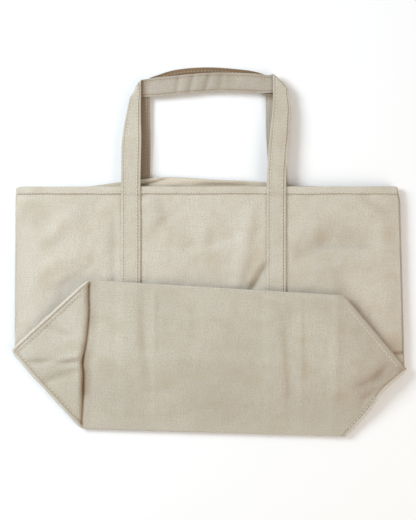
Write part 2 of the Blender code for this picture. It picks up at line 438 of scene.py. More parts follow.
def web_x(y, side):
    return side * STRAP_X + WEB_SHIFT + 0.0006 * wave(y, 0.06, 71 + side)


# ---- materials


def new_node(tree, kind, inputs=(), **settings):
    """The outputs of a new node, whose inputs are given as pairs of a socket and a value."""
    node = tree.nodes.new("ShaderNode" + kind)
    for name, value in settings.items():
        setattr(node, name, value)
    for socket, value in inputs:
        feed(tree, node.inputs[socket], value)
    return node.outputs


def feed(tree, socket, value):
    """Gives a socket a value of its own, or another node's output."""
    if isinstance(value, bpy.types.NodeSocket):
        tree.links.new(value, socket)
    else:
        socket.default_value = value


def maths(tree, operation, a, b=0.0):
    return new_node(tree, "Math", enumerate((a, b)), operation=operation)[0]


def noise(tree, vector, scale, detail, stretch=(1, 1, 1)):
    mapped = new_node(tree, "Mapping", (("Scale", stretch), ("Vector", vector)))[0]
    return new_node(tree, "TexNoise", (("Scale", scale), ("Detail", detail),
                                       ("Vector", mapped)))["Fac"]


def ramp(tree, value, lowest, highest):
    """0 below lowest, 1 above highest."""
    limits = (("From Min", lowest), ("From Max", highest), ("Value", value))
    return new_node(tree, "MapRange", limits, interpolation_type="SMOOTHSTEP")[0]


def tinted(tree, factor, colour, other, strength=1.0):
    """One colour turning into another, as far as the factor and the strength say."""
    amount = maths(tree, "MULTIPLY", factor, strength)
    return new_node(tree, "Mix", (("Factor", amount), (6, colour), (7, other)),
                    data_type="RGBA")[2]


def linear(red, green, blue):
    """An sRGB colour of 0 to 255 as the linear colour that the shaders take."""
    values = (v / 255 for v in (red, green, blue))
    return (*(((v + 0.055) / 1.055) ** 2.4 if v > 0.04045 else v / 12.92 for v in values), 1)


def scaled(colour, red, green, blue):
    return (colour[0] * red, colour[1] * green, colour[2] * blue, 1)


def new_material(name, rough, specular=0.5, sheen=0.0):
    """A material, its node tree and its shader."""
    material = bpy.data.materials.new(name)
    material.use_nodes = True
    shader = material.node_tree.nodes["Principled BSDF"]
    shader.inputs["Roughness"].default_value = rough
    shader.inputs["Specular IOR Level"].default_value = specular
    shader.inputs["Sheen Weight"].default_value = sheen
    return material, material.node_tree, shader


RIB_SHARE = 0.62  # the webbing's threads are longer along it than across it
SLUB_LENGTH_SCALE = 38.0
SEED_BROWN = linear(128, 98, 62)
# The brown towards which the painted shade of the 'shade' attribute darkens the cloth
PAINTED_SHADE_BROWN = linear(122, 89, 50)


def thread_height(tree, place, pitch, ribs):
    """Height of the weave: threads over and under each other, each of them round."""
    turn = math.pi / pitch
    turns = (turn, turn * (RIB_SHARE if ribs else 1.0))
    warp, weft = (maths(tree, "SINE", maths(tree, "MULTIPLY", output, rate)) for
                  output, rate in zip(new_node(tree, "SeparateXYZ", ((0, place),)), turns))
    cross = maths(tree, "MULTIPLY", warp, weft)
    rounds = maths(tree, "ADD", *(maths(tree, "ABSOLUTE", v) for v in (warp, weft)))
    return maths(tree, "ADD", maths(tree, "MULTIPLY", cross, 0.45),
                     maths(tree, "MULTIPLY", rounds, 0.35))


def slub_height(tree, place, pitch):
    """The thicker stretches of single threads, both ways."""
    thin = 0.75 / pitch
    slub_u = noise(tree, place, 1.0, 2.0, (thin, SLUB_LENGTH_SCALE, 1))
    slub_v = noise(tree, place, 1.0, 2.0, (SLUB_LENGTH_SCALE, thin, 1))
    return maths(tree, "MULTIPLY", maths(tree, "ADD", slub_u, slub_v), 0.5)


def woven(name, colour, shade, fleck=0.5, pitch=1.05 * MM, weave=0.35, ribs=False):
    """Woven cotton: threads over and under, slubs, mottling, flecks of seed, and painted shade."""
    material, tree, shader = new_material(name, 0.9, 0.25, 0.08)
    place = new_node(tree, "UVMap", uv_map="cloth")[0]
    height = thread_height(tree, place, pitch, ribs)
    slubs = slub_height(tree, place, pitch)
    cloud = noise(tree, place, 9.0, 5.0)
    grain = noise(tree, place, 520.0, 2.0, (1, 1.5, 1))
    specks = noise(tree, place, 330.0, 1.0, (1, 1.7, 1))
    warm = noise(tree, place, 21.0, 3.0, (1, 1.4, 1))
    deep, warmer = scaled(shade, 0.62, 0.62, 0.62), scaled(shade, 1, 0.95, 0.84)
    shown = colour
    for pattern, lowest, highest, tint, strength in (
            (cloud, 0.35, 0.72, shade, 0.45), (slubs, 0.42, 0.66, shade, 0.4),
            (grain, 0.4, 0.74, deep, 0.5), (warm, 0.48, 0.7, warmer, 0.4)):
        mask = ramp(tree, pattern, lowest, highest)
        shown = tinted(tree, mask, shown, tint, strength)
    # Painted shade in the gaps between the threads, as strong as weave says
    gaps = maths(tree, "SUBTRACT", 1.0, ramp(tree, height, -0.1, 0.5))
    shown = tinted(tree, gaps, shown, deep, weave)
    shown = tinted(tree, ramp(tree, specks, 0.72, 0.78), shown, SEED_BROWN, fleck)
    # Painted shade: the shade attribute darkens the cloth towards a brown
    painted_shade_amount = new_node(tree, "Attribute", attribute_name="shade")["Fac"]
    feed(tree, shader.inputs["Base Color"], tinted(tree, painted_shade_amount, shown, PAINTED_SHADE_BROWN))
    total = maths(tree, "ADD", height, maths(tree, "MULTIPLY", slubs, 1.6))
    bump = (("Strength", 0.55), ("Distance", 0.3 * MM), ("Height", total))
    feed(tree, shader.inputs["Normal"], new_node(tree, "Bump", bump)[0])
    return material


def thread(name, colour, shade):
    """Twisted cotton thread."""
    material, tree, shader = new_material(name, 0.75, sheen=0.1)
    twist = noise(tree, new_node(tree, "TexCoord")["Object"], 1500.0, 2.0)
    shown = tinted(tree, ramp(tree, twist, 0.4, 0.7), colour, shade)
    feed(tree, shader.inputs["Base Color"], shown)
    return material


CANVAS = woven("canvas_front", linear(219, 211, 196), linear(196, 187, 170))
BASE_CANVAS = woven("canvas_base", linear(212, 205, 189), linear(188, 180, 163))
INSIDE = woven("canvas_inside", linear(226, 215, 196), linear(204, 192, 172))
WEB_PITCH = 0.95 * MM
WEBBING = woven("webbing", linear(214, 206, 190), linear(192, 183, 166), 0.35, WEB_PITCH, 0.4,
                ribs=True)
WEBBING_REVERSE = woven("webbing_reverse", linear(194, 185, 171), linear(170, 160, 145), 0.35,
                        WEB_PITCH, 0.4, ribs=True)
# A little darker than the front's webbing: painted shade for the handle behind
SHADED_BACK_WEBBING = woven("webbing_back_shaded", linear(208, 200, 186), linear(186, 175, 156), 0.4,
                     WEB_PITCH, 0.45, ribs=True)
SEAM = woven("seam_canvas", linear(220, 213, 199), linear(200, 191, 175), fleck=0.3)
THREAD = thread("thread", linear(238, 232, 218), linear(212, 203, 186))
# A darker copy of the thread: painted shade for the rows that lie in shade
SHADED_THREAD = thread("thread_shaded", linear(204, 194, 176), linear(176, 163, 142))


# ---- body of the bag


def spaced(start, end, step):
    """Numbers from start to end in equal steps of about step."""
    return np.linspace(start, end, max(int(round(abs(end - start) / step)), 1) + 1)


def crossed(down, across):
    return np.meshgrid(down, across, indexing="ij")


def sheet_grid(us, vs, upper_y, height):
    """Points of a body panel: columns across from edge to edge, rows from mouth to fold line."""
    u, v = np.meshgrid(us, vs)
    x = lerp(-MOUTH_HALF, MOUTH_HALF, (u + 1) / 2)
    for _ in range(3):
        y = lerp(upper_y(x), fold_y(x), v)
        x = lerp(edge_x(y, -1), edge_x(y, 1), (u + 1) / 2)
    return joined(x, y, height(x, y))


PANEL_COLUMNS = np.concatenate([spaced(-1, -0.9, 0.006), spaced(-0.9, 0.9, 0.0095)[1:-1],
                                spaced(0.9, 1, 0.006)])
PANEL_ROWS = spaced(0, 1, 0.0105)
UNDER_HEM = 1.2 * MM  # how far below the hem's turned edge the panel's cloth ends


def build_front_panel():
    grid = sheet_grid(PANEL_COLUMNS, PANEL_ROWS, lambda x: mouth_y(x) - UNDER_HEM, front_z)
    # Painted shade from front_shade
    painted_shade = front_shade(grid[..., 0], grid[..., 1])
    piece = cloth("front_cloth", grid, CANVAS_HALF, grid[..., :2], CANVAS, painted_shade)
    return put(piece, "bag_body", "canvas", "front_panel")


def back_rim(x):
    """Y of the back's mouth, which rises above the front's in the middle."""
    return MOUTH_Y + curve(BACK_RIM_RISE, x) - 0.0035 * unit(1 - (x + MOUTH_HALF) / 0.01)


RIM_VALLEY_SHADE = 460


def build_back_panel():
    grid = sheet_grid(PANEL_COLUMNS, PANEL_ROWS, back_rim, back_z)
    x, y = grid[..., 0], grid[..., 1]
    # Painted shade along the rim just above the mouth and in the valleys of its folds
    painted_shade = 0.12 * bell(y - MOUTH_Y - 0.002, 0.004)
    painted_shade = unit(painted_shade + np.maximum(-creases(x, y, RIM_CREASES) * RIM_VALLEY_SHADE, 0))
    piece = cloth("back_cloth", grid, CANVAS_HALF, grid[..., :2] + (0.7, 0.3), INSIDE, painted_shade)
    bend_at_fold(piece)
    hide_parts("back_panel")
    return piece


def bend_at_fold(piece):
    """Bakes the transform of a piece of the back into its mesh."""
    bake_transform(piece)


SEWN_PLACE = 0.135  # the hem's row of stitches, as a share of its depth from its lower edge
HEM_PITCH = 4 * MM


def hem_band(node, upper, lower, height, face, material):
    """A turned-over band along the mouth, lying outside the cloth on its upper or lower face."""
    xs = spaced(-1, 1, 0.0085)
    across = np.concatenate([[0, 0.03, 0.07, 0.12, 0.17], spaced(0.2, 0.8, 0.12),
                             [0.83, 0.88, 0.93, 0.97, 1.0]])
    t, c = crossed(xs, across)
    x = lerp(edge_x(MOUTH_Y - 0.005, -1) - 0.0002, edge_x(MOUTH_Y - 0.005, 1) + 0.0002,
             (t + 1) / 2)
    uneven = 0.00035 * wave(x, 0.013, 23) + 0.0003 * wave(x, 0.05, 24)
    y = lerp(lower(x) + uneven, upper(x), c)
    pucker = 0.00022 * wave(x, 0.0042, 25) * bell(c - 0.14, 0.2)
    z = height(x, np.minimum(y, upper(x) - UNDER_HEM))
    z = z + face * (CANVAS_HALF + HEM_HALF + LAYER_GAP + pucker)
    half = HEM_HALF * rounded((MOUTH_Y - HEM_Y) * np.minimum(c, 1 - c), 1.1 * MM)
    half = half - 0.25 * MM * bell(c - SEWN_PLACE, 0.06)
    grid, uv = joined(x, y, z), joined(y, x) + (0.0, 0.9)
    # Painted shade along the row of stitches and at the band's raised lower edge
    painted_shade = 0.3 * bell(c - SEWN_PLACE, 0.055) + 0.35 * bell(c, 0.05)
    if face > 0:
        grid, uv = grid[::-1], uv[::-1]
    piece = cloth(node + "_band", grid, half, uv, material, painted_shade)
    put(piece, "bag_body", "canvas", node)
    return piece, row_on(grid, half, across, SEWN_PLACE)


def build_hems():
    front, front_row = hem_band("front_hem", mouth_y, lambda x: HEM_Y + 0 * x, front_z, 1,
                                CANVAS)
    back, back_row = hem_band("back_hem", back_rim, lambda x: back_rim(x) + HEM_Y - MOUTH_Y,
                              back_z, -1, INSIDE)
    sewing = stitches("hem_stitching", [(front_row, HEM_PITCH), (back_row, HEM_PITCH)], THREAD)
    put(sewing, "bag_body", "thread")
    return front, back


def word_of(side):
    return "left" if side < 0 else "right"


WELT_WIDE = 1.3 * MM


def build_side_seam(side):
    """The rounded welt that joins front and back down one side."""
    word = word_of(side)
    v, a = crossed(spaced(0, 1, 0.012), spaced(-1.75, 1.75, 0.35))
    last = (EAR_LEFT if side < 0 else EAR_RIGHT)[1]
    y = lerp(MOUTH_Y - 0.0015, last + 0.002, v)
    middle = (FRONT_EDGE_Z + BACK_EDGE_Z) / 2 + 0.0004 * wave(y, 0.02, 33 + side)
    x = edge_x(y, side) + side * (WELT_WIDE * np.cos(a) - 0.0006)
    z = middle + (0.0013 if side < 0 else 0.0021) * np.sin(a)
    grid = joined(x, y, z)
    if side < 0:
        grid = grid[:, ::-1]
    # Painted shade on the right seam; the left one gets none
    painted_shade = 0.0 if side < 0 else 0.45
    piece = cloth("side_seam_" + word, grid, SEAM_HALF, joined(z, y), SEAM, painted_shade)
    put(piece, "bag_body", "seam", word + "_side_seam")


# ---- folded base

# Between the base's two layers: at its rims, and further in
GAP_RIM, GAP_FULL = 1.6 * MM, 4 * MM
# For each slanting rim, (side, 0 above the ears' tips or 1 below): how far inside it its
# stitches run, where they start and end, and how wide its binding is
SEWN = {(-1, 0): (7.4 * MM, 0.12, 0.97), (-1, 1): (4.6 * MM, 0.03, 0.83),
        (1, 0): (7.2 * MM, 0.17, 0.97), (1, 1): (3.4 * MM, 0.42, 0.9)}
SEWN_PITCH = 5.3 * MM
PIPING_WIDE = {(-1, 0): 2.3 * MM, (-1, 1): 2.3 * MM, (1, 0): 0.8 * MM, (1, 1): 2 * MM}
RIM_SLANT = 0.72  # the distance from a rim, as a share of the distance from it along X
BOTTOM_Z = 6.3 * MM
TURN_STEPS = 6

# Soft folds of the base, in mm
BASE_CREASES = (
    (179, -10, 173, -300, 5.5, 1.7, 1.8),
    (-265, -159, -160, -157, 4.5, -3.2),
    (-232, -164, -166, -144, 4.2, 3),
    (-238, -190, -168, -165, 6.2, -2.7),
    (-230, -106, -182, -125, 4.5, -2.6),
    (254, -154, 228, -192, 5.5, -2.2),
    (250, -170, 202, -198, 6.5, -2.2),
    (242, -190, 208, -218, 5, -1.8),
    (195, -205, 245, -190, 6, 1.4),
    (-95, -55, -76, -220, 7, -1.6),
    (103, -70, 118, -240, 6, -2.2),
    (125, -80, 132, -240, 6, 1.2),
    (-150, -148, 170, -162, 8, 1),
)


def hexagon(u, v):
    """Place on the base: u from -1 to 1 across, v from 0 at its top edge to 2 at its bottom."""
    t, upper, lower = (u + 1) / 2, unit(v), unit(v - 1)
    top = on_line(TOP_LEFT, TOP_RIGHT, t)
    ear = on_line(EAR_LEFT, EAR_RIGHT, t)
    bottom = on_line(BOTTOM_LEFT, BOTTOM_RIGHT, t)
    x, y = np.where(v < 1, on_line(top, ear, upper), on_line(ear, bottom, lower))
    hollow = 0.005 * unit(u) ** 6 * bell(lower - 0.32, 0.21) * (v > 1)
    return x - hollow, y + hollow * 0.5


def rim_xs(v):
    """X of the base's left and right rims."""
    return hexagon(-1, v)[0], hexagon(1, v)[0]


def rim_distance(x, v):
    """How far a place on the base is from its nearest slanting rim."""
    left, right = rim_xs(v)
    return np.minimum(x - left, right - x) * RIM_SLANT


def sewn_inset(u, v):
    """How far inside the slanting rim its stitches run, at a place on the base."""
    upper = smooth((1.08 - v) / 0.16)
    left, right = (lerp(SEWN[s, 1][0], SEWN[s, 0][0], upper) for s in (-1, 1))
    return np.where(u < 0, left, right)


def bound(u, v):
    """How raised the rim's bound edge is: full at the left, and least at the upper right."""
    return 1 - (u > 0) * (0.35 + 0.55 * smooth((1.04 - v) / 0.06))


def on_ear(x):
    return smooth((np.abs(x) - BASE_HALF + 0.012) / 0.014)


def ear_share(x):
    """How far a place is from the base's short edge to the ear's tip: steep at first."""
    t = unit((np.abs(x) - BASE_HALF + 0.002) / (EAR_HALF - BASE_HALF + 0.002))
    return smooth(t / 0.06) * t * (1.45 - 0.45 * t)


EAR_RISE = 4.2 * MM


def flap_level(x, y, v):
    """Smooth height of the base's cloth, before its folds."""
    edge = from_edge(x, np.maximum(y, fold_y(x)))
    body = pillow(edge, FRONT_MID, FRONT_EDGE_Z)
    above = body + lerp(BASE_MID - FRONT_MID, EAR_RISE, ear_share(x))
    drop = smooth(np.clip(v - 0.93, 0, 1.07) / 1.07)
    return lerp(above, BOTTOM_Z, drop)


def strap_relief(across, v):
    """The webbing under the base showing through it, most above the ears' line."""
    bump = 0.0021 * smooth((across + 0.022) / 0.014) * smooth((0.022 - across) / 0.014)
    edge = 0.0009 * bell(across - 0.0335, 0.0035)
    return (bump + edge) * lerp(1, 0.45, smooth((v - 0.85) / 0.3))


EDGE_FOLD_XS = (-164 * MM, -176.5 * MM)
EDGE_FOLD_DEEP = 5 * MM


def edge_fold_x(y):
    """X of the fold along the base's left short edge, which strays from a straight line."""
    straight = lerp(*EDGE_FOLD_XS, unit((-0.05 - y) / 0.2))
    kink = 0.003 * bell(y + 0.1, 0.035) - 0.0022 * bell(y + 0.158, 0.012)
    return straight + kink + 0.0007 * wave(y, 0.02, 103)


def base_shade(u, v):
    """Painted shade: in the fold along the base's short edge, under the seams' stitches, on the
    upper right rim, and in the folds.
    """
    x, y = hexagon(u, v)
    rim = rim_distance(x, v)
    off = x - edge_fold_x(y)
    beside = 0.12 + 0.3 * smooth(0.5 + wave(y, 0.03, 107))
    fold = (0.9 * bell(off, 0.0019 + 0.001 * bell(y + 0.19, 0.03))
            + beside * bell(off - 0.0045, 0.006))
    seam = (0.24 * bell(rim - sewn_inset(u, v), 0.0012) + 0.3 * bell(rim - 0.0028, 0.001))
    seam = seam * on_ear(x) * bound(u, v) + 0.55 * bell(rim, 0.0009) * (1 - bound(u, v))
    return unit(fold * smooth(rim / 0.004) + seam + ear_shade(x, y))


def ear_shade(x, y):
    """Painted shade: the right ear darker than the left, most in the hollows by its tip, and in
    the folds' valleys.
    """
    hollow = 0.22 * bell(x - 0.2415, 0.014) * bell(y + 0.174, 0.016)
    dent = 0.2 * bell(x - 0.217, 0.018) * bell(y + 0.193, 0.016)
    tip = 0.26 * bell(x - 0.27, 0.008) * bell(y + 0.168, 0.006)
    across = 0.06 * smooth((x + 0.15) / 0.17) + 0.09 * smooth((x - 0.182) / 0.04)
    valleys = unit(-creases(x, y, BASE_CREASES) / 0.0025)
    return hollow + dent + tip + across + 0.08 * valleys


def base_z(u, v):
    """Height of the middle of the base's outer layer."""
    x, y = hexagon(u, v)
    level = flap_level(x, y, v)
    rim = rim_distance(x, v)
    inner = smooth((rim - 0.004) / 0.02) * smooth(v / 0.12) * smooth((2 - v) / 0.12)
    ripple = 0.0012 * puffs(x, y, 61) + 0.0004 * field(x, y, 0.012, 67)
    straps = sum(strap_relief(x - web_x(y, s), v) for s in (-1, 1))
    band = sewn_inset(u, v)
    allowance = 0.0012 * (1 - smooth((rim - band + 0.001) / 0.0022)) * on_ear(x) * bound(u, v)
    groove = -0.0007 * bell(rim - band + 0.0004, 0.0012) - 0.0009 * bell(rim - 0.0028, 0.0009)
    groove = groove * on_ear(x) * bound(u, v)
    off = x - edge_fold_x(y)
    width = np.where(off < 0, 0.0036, 0.0034)
    ends = lerp(0.6, 1, smooth(v / 0.1)) * lerp(1, 0.55, smooth((v - 1.5) / 0.4))
    folds = creases(x, y, BASE_CREASES) - EDGE_FOLD_DEEP * ends * bell(off, width)
    return level + inner * (ripple + straps) + allowance + groove + folds * smooth(rim / 0.006)


def under_z(u, v):
    """Height of the layer under the base: the lower front above the ears, the back below."""
    x, y = hexagon(u, v)
    rim = rim_distance(x, v)
    inside = smooth(rim / 0.022)
    over = base_z(u, v)
    front = over - lerp(GAP_RIM, GAP_FULL, inside * smooth(v / 0.2))
    front = np.maximum(front, front_z(x, y) + 1.35 * MM)
    closing = np.minimum(inside, smooth((2 - v) / 0.25))
    back = np.minimum(lerp(over - GAP_RIM, BACK_MID, closing), over - GAP_RIM)
    return np.maximum(np.where(v <= 1, front, back), CANVAS_HALF + FLOOR_GAP)


def base_columns():
    near = np.concatenate([spaced(0, 0.012, 0.003), spaced(0.012, 0.072, 0.0055)[1:]])
    inner = spaced(-1 + 0.072, 1 - 0.072, 0.0072)
    return np.concatenate([-1 + near, inner[1:-1], (1 - near)[::-1]])


def edge_turn(u, v, way):
    """Rows that roll the cloth round the base's top (way 1) or bottom (way -1) edge."""
    x, y = hexagon(u, v)
    high_z, low_z = base_z(u, v), under_z(u, v)
    middle, radius = (high_z + low_z) / 2, (high_z - low_z) / 2
    angles = [math.pi * k / TURN_STEPS for k in range(1, TURN_STEPS)]
    return [joined(x, y + way * radius * math.sin(a),
                      middle - way * radius * math.cos(a)) for a in angles]


def base_grid():
    """Columns, points and grubbiness of the base: under its top half, over, and under again."""
    us = base_columns()

    def row(v, height):
        vs = np.full_like(us, v)
        return joined(*hexagon(us, vs), height(us, vs))

    under_rows = spaced(1, 0, 0.024)
    over_rows = np.concatenate([[0, 0.008, 0.02], spaced(0.035, 1.965, 0.0245),
                                [1.98, 1.992, 2.0]])
    rows = [row(v, under_z) for v in under_rows]
    rows += edge_turn(us, np.zeros_like(us), 1)
    before = len(rows)
    rows += [row(v, base_z) for v in over_rows]
    rows += edge_turn(us, np.full_like(us, 2.0), -1)
    rows += [row(max(2 - v, 1.0001), under_z) for v in under_rows[::-1]]
    shade = np.zeros((len(rows), len(us)))
    shade[before:before + len(over_rows)] = [base_shade(us, np.full_like(us, v))
                                             for v in over_rows]
    return us, np.stack(rows), shade


def build_base():
    us, grid, shade = base_grid()
    middle = grid[:, len(us) // 2]
    run = np.concatenate([[0], np.cumsum(np.linalg.norm(np.diff(middle, axis=0), axis=1))])
    uv = joined(grid[..., 0], np.broadcast_to(run[:, None], grid.shape[:2]))
    grid = grid[:, ::-1]
    piece = cloth("base_cloth", grid, CANVAS_HALF, uv[:, ::-1] + (1.7, 0.2), BASE_CANVAS,
                  shade[:, ::-1])
    return put(piece, "base_fold", "base", "base_panel", "left_gusset", "right_gusset",
               "front_lower_panel", "back_lower_panel")


def build_corner_seam(side, half):
    """The bound edge where the base's ear meets the front (half 0) or back (half 1) wall."""
    node = f"{('front', 'back')[half]}_corner_seam_{word_of(side)}"
    vs = spaced(half + 0.004, half + 0.996, 0.0165)
    us = np.full_like(vs, float(side))
    line = joined(*hexagon(us, vs))
    top, bottom = base_z(us, vs), under_z(us, vs)
    ahead = directions(np.gradient(line, axis=0))
    out = joined(ahead[:, 1], -ahead[:, 0])
    out *= np.sign((out[:, :1] * side).mean())
    angles = spaced(-1.9, 1.9, 0.38)
    ends = np.sqrt(np.clip(np.minimum(vs - half, half + 1 - vs) / 0.07, 0.04, 1))
    middle, tall = (top + bottom) / 2, (top - bottom) / 2 + lerp(0.1, 0.5, ends) * MM
    wide = PIPING_WIDE[side, half] * ends * (1 + 0.25 * wave(vs * 0.1, 0.006, 81))
    offset = np.cos(angles) * wide[:, None] - 0.0004 * ends[:, None]
    xs, ys = (line[:, k, None] + out[:, k, None] * offset for k in (X, Y))
    grid = joined(xs, ys, middle[:, None] + tall[:, None] * np.sin(angles))
    if side < 0:
        grid = grid[:, ::-1]
    uv = joined(*np.broadcast_arrays(angles * 0.002, (vs * 0.14)[:, None]))
    # Painted shade on the upper right binding
    painted_shade = 0.5 if (side, half) == (1, 0) else 0.0
    piece = cloth("piping_" + node, grid, SEAM_HALF, uv, SEAM, painted_shade)
    return put(piece, "base_fold", "seam", node)


def build_base_stitching():
    rows = []
    for (side, half), (inset, first, last) in SEWN.items():
        vs = spaced(half + first, half + last, 0.02)
        left, right = rim_xs(vs)
        us = side * (1 - 2 * inset / RIM_SLANT / (right - left))
        line = joined(*hexagon(us, vs), base_z(us, vs) + CANVAS_HALF)
        up = np.broadcast_to([0.0, 0.0, 1.0], line.shape)
        rows.append(((line, up), SEWN_PITCH))
    return put(stitches("base_stitching", rows, THREAD), "base_fold", "thread")


def build_front_turn():
    """The strip of front wall that turns over into the folded base."""
    us = spaced(-0.985, 0.985, 0.014)
    ones = np.ones_like(us)
    x, y = hexagon(us, ones)
    low_z, high_z = front_z(x, y), under_z(us, ones)
    middle, radius = (low_z + high_z) / 2, (high_z - low_z) / 2
    grid = np.stack([joined(x, y - radius * math.cos(a) * 0.9, middle + radius * math.sin(a))
                     for a in spaced(-math.pi / 2, math.pi / 2, math.pi / 10)])
    uv = grid[..., [X, Z]] * (1, 4)
    piece = cloth("front_turn", grid, CANVAS_HALF, uv, CANVAS)
    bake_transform(piece)
    return piece


# ---- webbing

# Columns across half of the webbing, close together at its stitches and edges
WEB_RIGHT = np.array([3.2, 6.4, 7.7, 8.4, 9.1, 9.7, 10.0, 10.4, 11.0, 11.5, 12.0, 12.6, 13.0,
                      13.3, 13.55, 13.65]) * STRAP_WIDTH / 27.3
WEB_ACROSS = np.concatenate([-WEB_RIGHT[::-1], [0.0], WEB_RIGHT])
LAYER_EDGE = 9.85 * MM
LAYER_STEP = 0.45 * MM
INNER_ROW, OUTER_ROW = 8.4 * MM, 11.4 * MM
OWN_ROWS = ((-INNER_ROW, 4.8 * MM), (INNER_ROW, 4.8 * MM))
SEWN_ROWS = ((-OUTER_ROW, 4.1 * MM), *OWN_ROWS, (OUTER_ROW, 4.1 * MM))
OUTER_GROOVE = 11.5 * MM


def web_section():
    """Half thickness and painted shade across the webbing: one layer full width, and a narrower
    one sewn on each face of it, the shade in its grooves and at the narrower layer's edges."""
    place = np.abs(WEB_ACROSS)
    half = (WEB_HALF - LAYER_STEP) * rounded(STRAP_WIDTH / 2 - place, 1 * MM)
    half = half + LAYER_STEP * smooth((LAYER_EDGE + 0.15 * MM - place) / (0.3 * MM))
    half = half - 0.18 * MM * bell(place - INNER_ROW, 0.6 * MM)
    half = half - 0.12 * MM * bell(place - OUTER_GROOVE, 0.5 * MM)
    shade = 0.55 * bell(place - LAYER_EDGE - 0.15 * MM, 0.4 * MM)
    shade = shade + 0.22 * bell(place - INNER_ROW, 0.7 * MM)
    return half, shade + 0.15 * bell(place - OUTER_GROOVE, 0.6 * MM)


WEB_SECTION, WEB_SHADE = web_section()


def web_uv(run):
    return joined(np.broadcast_to(WEB_ACROSS, run.shape), run)


# A webbing loop: legs up from the mouth, folded at 45 degrees into a band. Pairs are left and
# right; past_fold is how far above the base's fold its sewn webbing starts.
Loop = namedtuple("Loop", "feet tops corners band rounding top_z past_fold")

# How the outline at a fold is pulled in, in mm: along Y from the corner, and inwards
SOFT_CORNER = ((-120, 0), (-68, 0), (-52, 1), (-30, 4), (-15, 6.8), (-7.5, 7.4), (0, 5), (6, 2),
               (12, 0), (30, 0), (60, 0))
CRISP_CORNER = ((-120, 0), (-60, -0.4), (-30, -0.6), (-13.5, 1.8), (0, 0), (30, 0), (60, 0))
ROLL = 1.9 * MM
FINE_STEP, WEB_STEP = 0.8 * MM, 2.6 * MM


def sewn_from(loop, side):
    """Y at which a loop's sewn webbing starts."""
    return fold_y(side * STRAP_X) + loop.past_fold


def half_loop(loop, side):
    """Rows from the webbing's sewn end up to the middle of its band, before they are laid."""
    top_x, corner_y = loop.tops[side > 0], loop.corners[side > 0]
    start = sewn_from(loop, side)
    turn = math.pi * ROLL
    middle_x = (loop.tops[0] + loop.tops[1]) / 2
    total = corner_y - start + abs(top_x - middle_x) + turn / math.sqrt(2)
    to_fold = corner_y - start - STRAP_WIDTH / 2 - 0.002
    past = to_fold + STRAP_WIDTH + 2 * ROLL + 0.006
    s = np.concatenate([spaced(0, to_fold, WEB_STEP), spaced(to_fold, past, FINE_STEP)[1:],
                        spaced(past, total, WEB_STEP)[1:]])
    # Square to the fold and along it
    n, d = np.array([[side, 1.0], [-side, 1.0]]) / math.sqrt(2)
    along, c = crossed(s, WEB_ACROSS)
    near_fold = smooth((along - to_fold + 0.06) / 0.05) * smooth((past + 0.02 - along) / 0.03)
    narrow = 1 - 0.13 * near_fold
    px, py = -side * c * narrow, start + along - corner_y
    q, a = px * n[0] + py * n[1], px * d[0] + py * d[1]
    rolled = np.clip(q, 0, turn)
    offset = np.where(q < 0, q, ROLL * np.sin(rolled / ROLL) - np.maximum(q - turn, 0))
    drop = -ROLL * (1 - np.cos(rolled / ROLL))
    x = top_x + a * d[0] + offset * n[0]
    y = corner_y + a * d[1] + offset * n[1]
    rise = curve(loop.band, x) - corner_y - turn / math.sqrt(2)
    y = y + rise * smooth((q + 0.002) / 0.01)
    pulled = curve(loop.rounding[side > 0], y - corner_y)
    x = x - side * pulled * rim_share(x, offset, top_x, side)
    return x, y, drop, along, total


def rim_share(x, offset, top_x, side):
    """1 on the loop's outer outline at its corner, falling to 0 well inside it."""
    from_side = side * (top_x - x) + STRAP_WIDTH / 2
    from_inside = side * (x - top_x) + 0.0112
    near = 1 - smooth(np.minimum(from_side, -offset) / 0.021)
    return near * smooth(from_inside / 0.011)


def loop_grid(loop):
    left, right = half_loop(loop, -1), half_loop(loop, 1)
    x, y, drop = (np.concatenate([left[k], right[k][::-1][1:]]) for k in range(3))
    run = np.concatenate([left[3], (left[4] + right[4] - right[3])[::-1][1:]])
    side = np.concatenate([np.full(len(left[0]), 0), np.full(len(right[0]) - 1, 1)])
    return x, y, drop, run, side[:, None]


def lay_loop(loop, surface):
    """The loop in place: sewn to the body's surface, then drooping to lie flat; and its run."""
    x, y, drop, run, k = loop_grid(loop)
    foot, top = np.array(loop.feet)[k], np.array(loop.tops)[k]
    rise = (y - MOUTH_Y) / (min(loop.corners) - MOUTH_Y)
    x = x + (foot - top) * (1 - smooth(rise * 1.05))
    free = lerp(surface(x, np.minimum(y, MOUTH_Y - 0.002)), loop.top_z, smooth(rise))
    z = np.where(y < MOUTH_Y - 0.002, surface(x, y), free) + drop
    return joined(x, y, z), run


def hem_step(y):
    """How far the hem lifts the webbing off the panel."""
    return (2 * HEM_HALF + LAYER_GAP) * smooth((y - HEM_Y + 0.0022) / 0.0034)


def front_web_z(x, y):
    """Height of the webbing's middle where it is sewn over the front panel and its hem."""
    wrinkle = 0.00035 * field(x, y, 0.0055, 91) * smooth((y - 0.02) / 0.03)
    return front_z(x, y) + CANVAS_HALF + WEB_HALF + hem_step(y) + wrinkle


LOWEST_WEB = WEB_HALF + 0.1 * MM


def back_web_z(x, y):
    return np.maximum(back_z(x, y) - CANVAS_HALF - WEB_HALF - hem_step(y), LOWEST_WEB)


